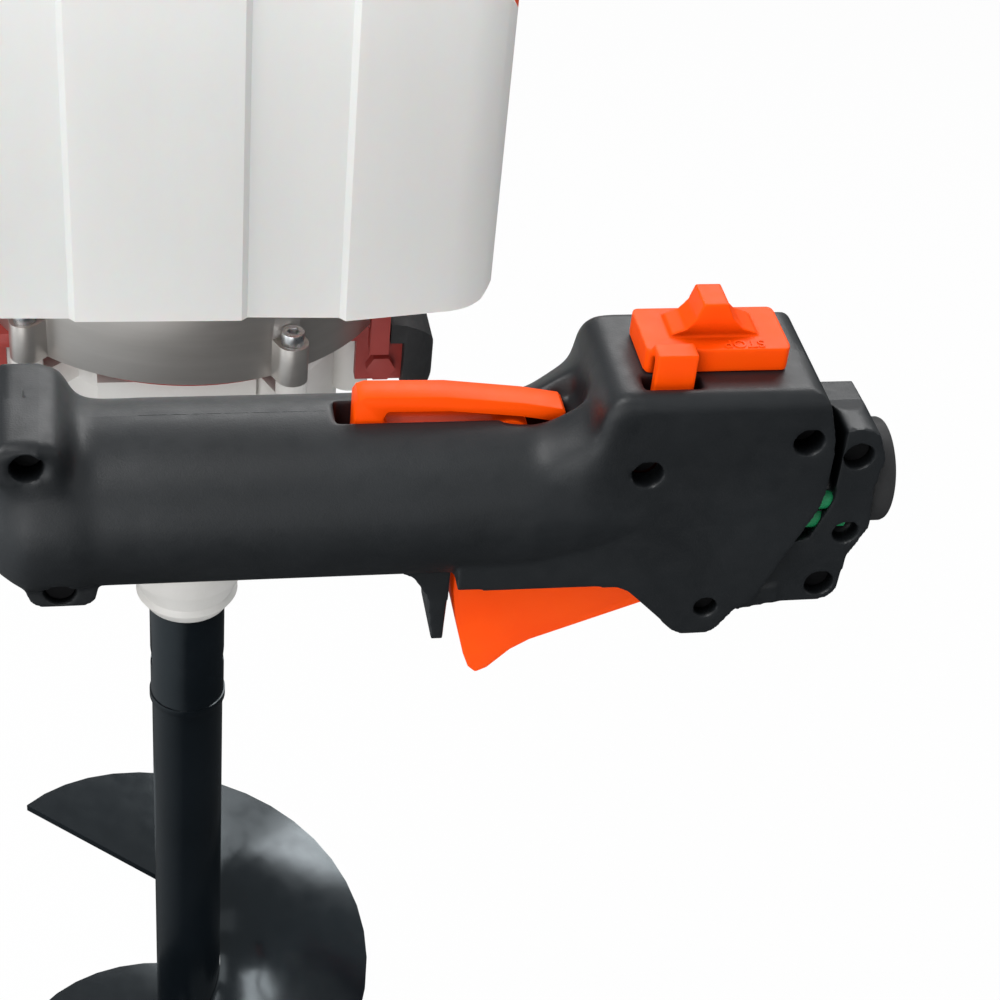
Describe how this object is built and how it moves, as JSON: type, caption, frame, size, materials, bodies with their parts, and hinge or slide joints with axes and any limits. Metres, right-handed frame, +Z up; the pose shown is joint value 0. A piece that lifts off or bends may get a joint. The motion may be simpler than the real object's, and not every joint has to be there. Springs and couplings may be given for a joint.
{
  "type": "earth auger",
  "caption": "Petrol earth auger: powerhead with clutch, reduction gearbox and handlebar with a throttle handle, driving a spiral bit with a pilot point.",
  "frame": {"origin": "on the auger axis, midway between the two hand grips and at the height of their axes", "axes": "+X away from the operator, +Y to the operator's left, +Z up along the auger axis"},
  "size_m": [0.321, 0.5196, 1.1083],
  "materials": {
    "handle_plastic": "fine sparked texture, dark charcoal",
    "signal_orange": "smooth moulded orange",
    "tank_plastic": "translucent white blow-moulded",
    "cast_aluminium": "bare die cast",
    "white_casting": "light silver paint on casting",
    "bit_black": "gloss black powder coat",
    "frame_black": "satin black powder coat",
    "beam_red": "satin red paint",
    "zinc": "zinc plated",
    "tool_steel": "machined, oiled",
    "black_plastic": "moulded",
    "black_rubber": "matt",
    "reel_plastic": "moulded",
    "clear_bulb": "soft translucent",
    "wire_green": "smooth lead insulation",
    "hood_orange": "moulded orange red"
  },
  "bodies": {
    "powerhead": {"gearbox_housing": "white_casting", "gearbox_lid": "white_casting", "gearbox_bolts": "zinc", "gearbox_bearings": "tool_steel", "oil_seal": "black_rubber", "clutch_case": "cast_aluminium", "case_bolts": "zinc", "fan_cover": "hood_orange", "crankcase": "cast_aluminium", "crank_bearings": "tool_steel", "engine_barrel": "cast_aluminium", "cylinder_bolts": "zinc", "spark_plug": "zinc", "plug_cap": "black_rubber", "ignition_coil": "black_plastic", "muffler": "tool_steel", "carburettor": "cast_aluminium", "filter_base": "black_plastic", "filter_cover": "black_plastic", "engine_hood": "hood_orange", "hood_screws": "zinc", "starter_housing": "black_plastic", "fuel_tank": "tank_plastic", "tank_bracket": "frame_black", "tank_screws": "zinc", "handle_frame": "frame_black", "frame_bolts": "zinc", "carrier_beam": "beam_red", "beam_cap": "black_rubber", "left_grip": "black_rubber", "handle_front": "handle_plastic", "handle_rear": "handle_plastic", "handle_screws": "frame_black", "lever_pins": "zinc", "switch_leads": "wire_green", "cable_gland": "black_rubber"},
    "bit": {"auger_flight": "bit_black", "auger_tube": "bit_black", "auger_collar": "bit_black", "drive_pin": "zinc", "pilot_point": "tool_steel", "cutting_blades": "tool_steel", "blade_bolts": "zinc", "output_shaft": "tool_steel", "output_wheel": "tool_steel"},
    "countershaft": {"countershaft": "tool_steel"},
    "clutch_drum": {"clutch_drum": "tool_steel"},
    "crank": {"crankshaft": "tool_steel", "clutch_hub": "tool_steel", "flywheel": "cast_aluminium"},
    "shoe_front": {"shoe_front": "cast_aluminium"},
    "shoe_back": {"shoe_back": "cast_aluminium"},
    "trigger": {"throttle_trigger": "signal_orange"},
    "safety_lever": {"safety_lever": "signal_orange"},
    "stop_switch": {"stop_switch": "signal_orange"},
    "starter_grip": {"starter_grip": "black_plastic"},
    "starter_reel": {"starter_reel": "reel_plastic"},
    "tank_cap": {"tank_cap": "black_plastic"},
    "choke_lever": {"choke_lever": "black_plastic"},
    "primer_bulb": {"primer_bulb": "clear_bulb"}
  },
  "joints": [
    {"name": "bit_spin", "type": "hinge", "parent": "powerhead", "child": "bit", "pos_m": [0, 0, 0], "axis": [0, 0, 1], "continuous": true},
    {"name": "countershaft_spin", "type": "hinge", "parent": "powerhead", "child": "countershaft", "pos_m": [0, 0.04275, 0], "axis": [0, 0, 1], "continuous": true},
    {"name": "drum_spin", "type": "hinge", "parent": "powerhead", "child": "clutch_drum", "pos_m": [0, 0, 0], "axis": [0, 0, 1], "continuous": true},
    {"name": "crank_spin", "type": "hinge", "parent": "powerhead", "child": "crank", "pos_m": [0, 0, 0], "axis": [0, 0, 1], "continuous": true},
    {"name": "shoe_front_slide", "type": "slide", "parent": "crank", "child": "shoe_front", "axis": [0, -1, 0], "range_m": [0, 0.0008], "stiffness_N_per_m": 4000},
    {"name": "shoe_back_slide", "type": "slide", "parent": "crank", "child": "shoe_back", "axis": [0, 1, 0], "range_m": [0, 0.0008], "stiffness_N_per_m": 4000},
    {"name": "trigger_pull", "type": "hinge", "parent": "powerhead", "child": "trigger", "pos_m": [0.0986, -0.239, -0.0237], "axis": [0, 1, 0], "range_deg": [0, 13], "stiffness_Nm_per_rad": 0.4, "springref_deg": -8.59},
    {"name": "lever_press", "type": "hinge", "parent": "powerhead", "child": "safety_lever", "pos_m": [0.0545, -0.239, 0.0134], "axis": [0, -1, 0], "range_deg": [0, 7], "stiffness_Nm_per_rad": 0.3, "springref_deg": -5.73},
    {"name": "stop_slide", "type": "slide", "parent": "powerhead", "child": "stop_switch", "axis": [-1, 0, 0], "range_m": [0, 0.0018]},
    {"name": "starter_pull", "type": "slide", "parent": "powerhead", "child": "starter_grip", "axis": [-1, 0, 0], "range_m": [0, 0.045], "stiffness_N_per_m": 120, "springref_m": -0.02},
    {"name": "reel_turn", "type": "hinge", "parent": "powerhead", "child": "starter_reel", "pos_m": [0, 0, 0.059], "axis": [0, 0, 1], "range_deg": [-75.83, 0]},
    {"name": "cap_turn", "type": "hinge", "parent": "powerhead", "child": "tank_cap", "pos_m": [-0.042, -0.0745, 0.0467], "axis": [0, 0, 1], "range_deg": [0, 360]},
    {"name": "choke_turn", "type": "hinge", "parent": "powerhead", "child": "choke_lever", "pos_m": [-0.09005, 0.107, 0], "axis": [0, 1, 0], "range_deg": [0, 75]},
    {"name": "bulb_press", "type": "slide", "parent": "powerhead", "child": "primer_bulb", "axis": [0, 0, 1], "range_m": [0, 0.003], "stiffness_N_per_m": 1500, "springref_m": -0.001}
  ],
  "couplings": [
    {"joint": "countershaft_spin", "follows": "bit_spin", "ratio": -5.3333},
    {"joint": "drum_spin", "follows": "bit_spin", "ratio": 28.444},
    {"joint": "shoe_back_slide", "follows": "shoe_front_slide", "ratio": 1},
    {"joint": "reel_turn", "follows": "starter_pull", "rad_per_m": -29.412}
  ]
}
